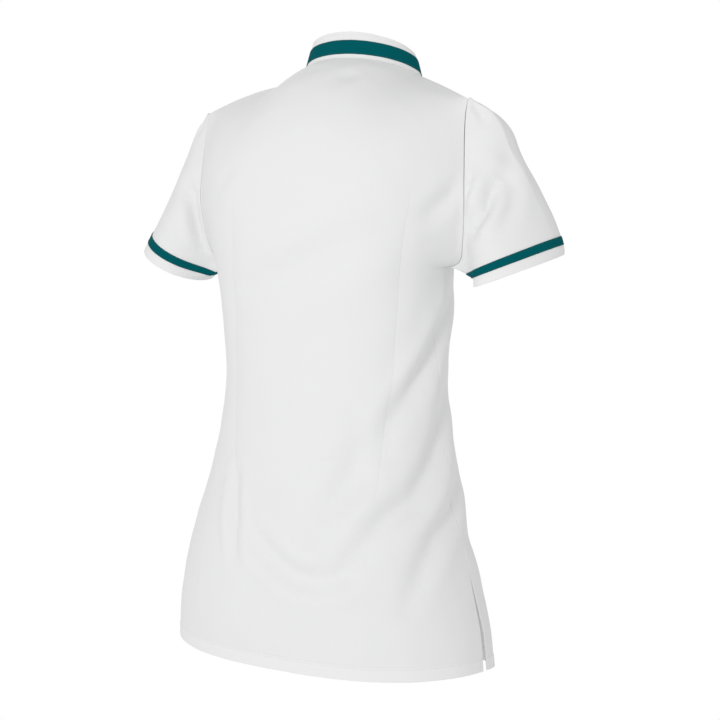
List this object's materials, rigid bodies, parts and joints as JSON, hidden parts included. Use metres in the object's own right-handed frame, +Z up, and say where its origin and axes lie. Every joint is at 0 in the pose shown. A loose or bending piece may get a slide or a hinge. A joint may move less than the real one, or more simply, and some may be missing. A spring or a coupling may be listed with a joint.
{
  "type": "medical tunic",
  "caption": "Fitted short-sleeved healthcare tunic with stand collar, contrast tape at collar and sleeve hems, waist darts, side slits and a buttoned front, filled out as if worn.",
  "frame": {"origin": "on the centre plane between the two shoulders, about 4 mm above and 2 mm behind the back neck seam and 6 mm behind the shoulder tips, where the wearer's shoulders and neck hold the garment up", "axes": "+Z up along the garment's length, +X to the wearer's left, +Y to the wearer's back"},
  "size_m": [0.5624, 0.2763, 0.7586],
  "materials": {
    "white_cloth": "matt woven polyester and cotton",
    "teal_tape": "matt woven tape",
    "button": "satin moulded"
  },
  "bodies": {
    "root": {"back": "white_cloth", "front_right": "white_cloth", "front_left": "white_cloth", "sleeve_left": "white_cloth", "sleeve_right": "white_cloth", "collar": "white_cloth", "collar_band": "teal_tape", "sleeve_band_left": "teal_tape", "sleeve_band_right": "teal_tape", "button_1": "button", "button_2": "button", "button_3": "button", "button_4": "button", "button_5": "button", "button_6": "button", "button_7": "button"}
  },
  "joints": []
}
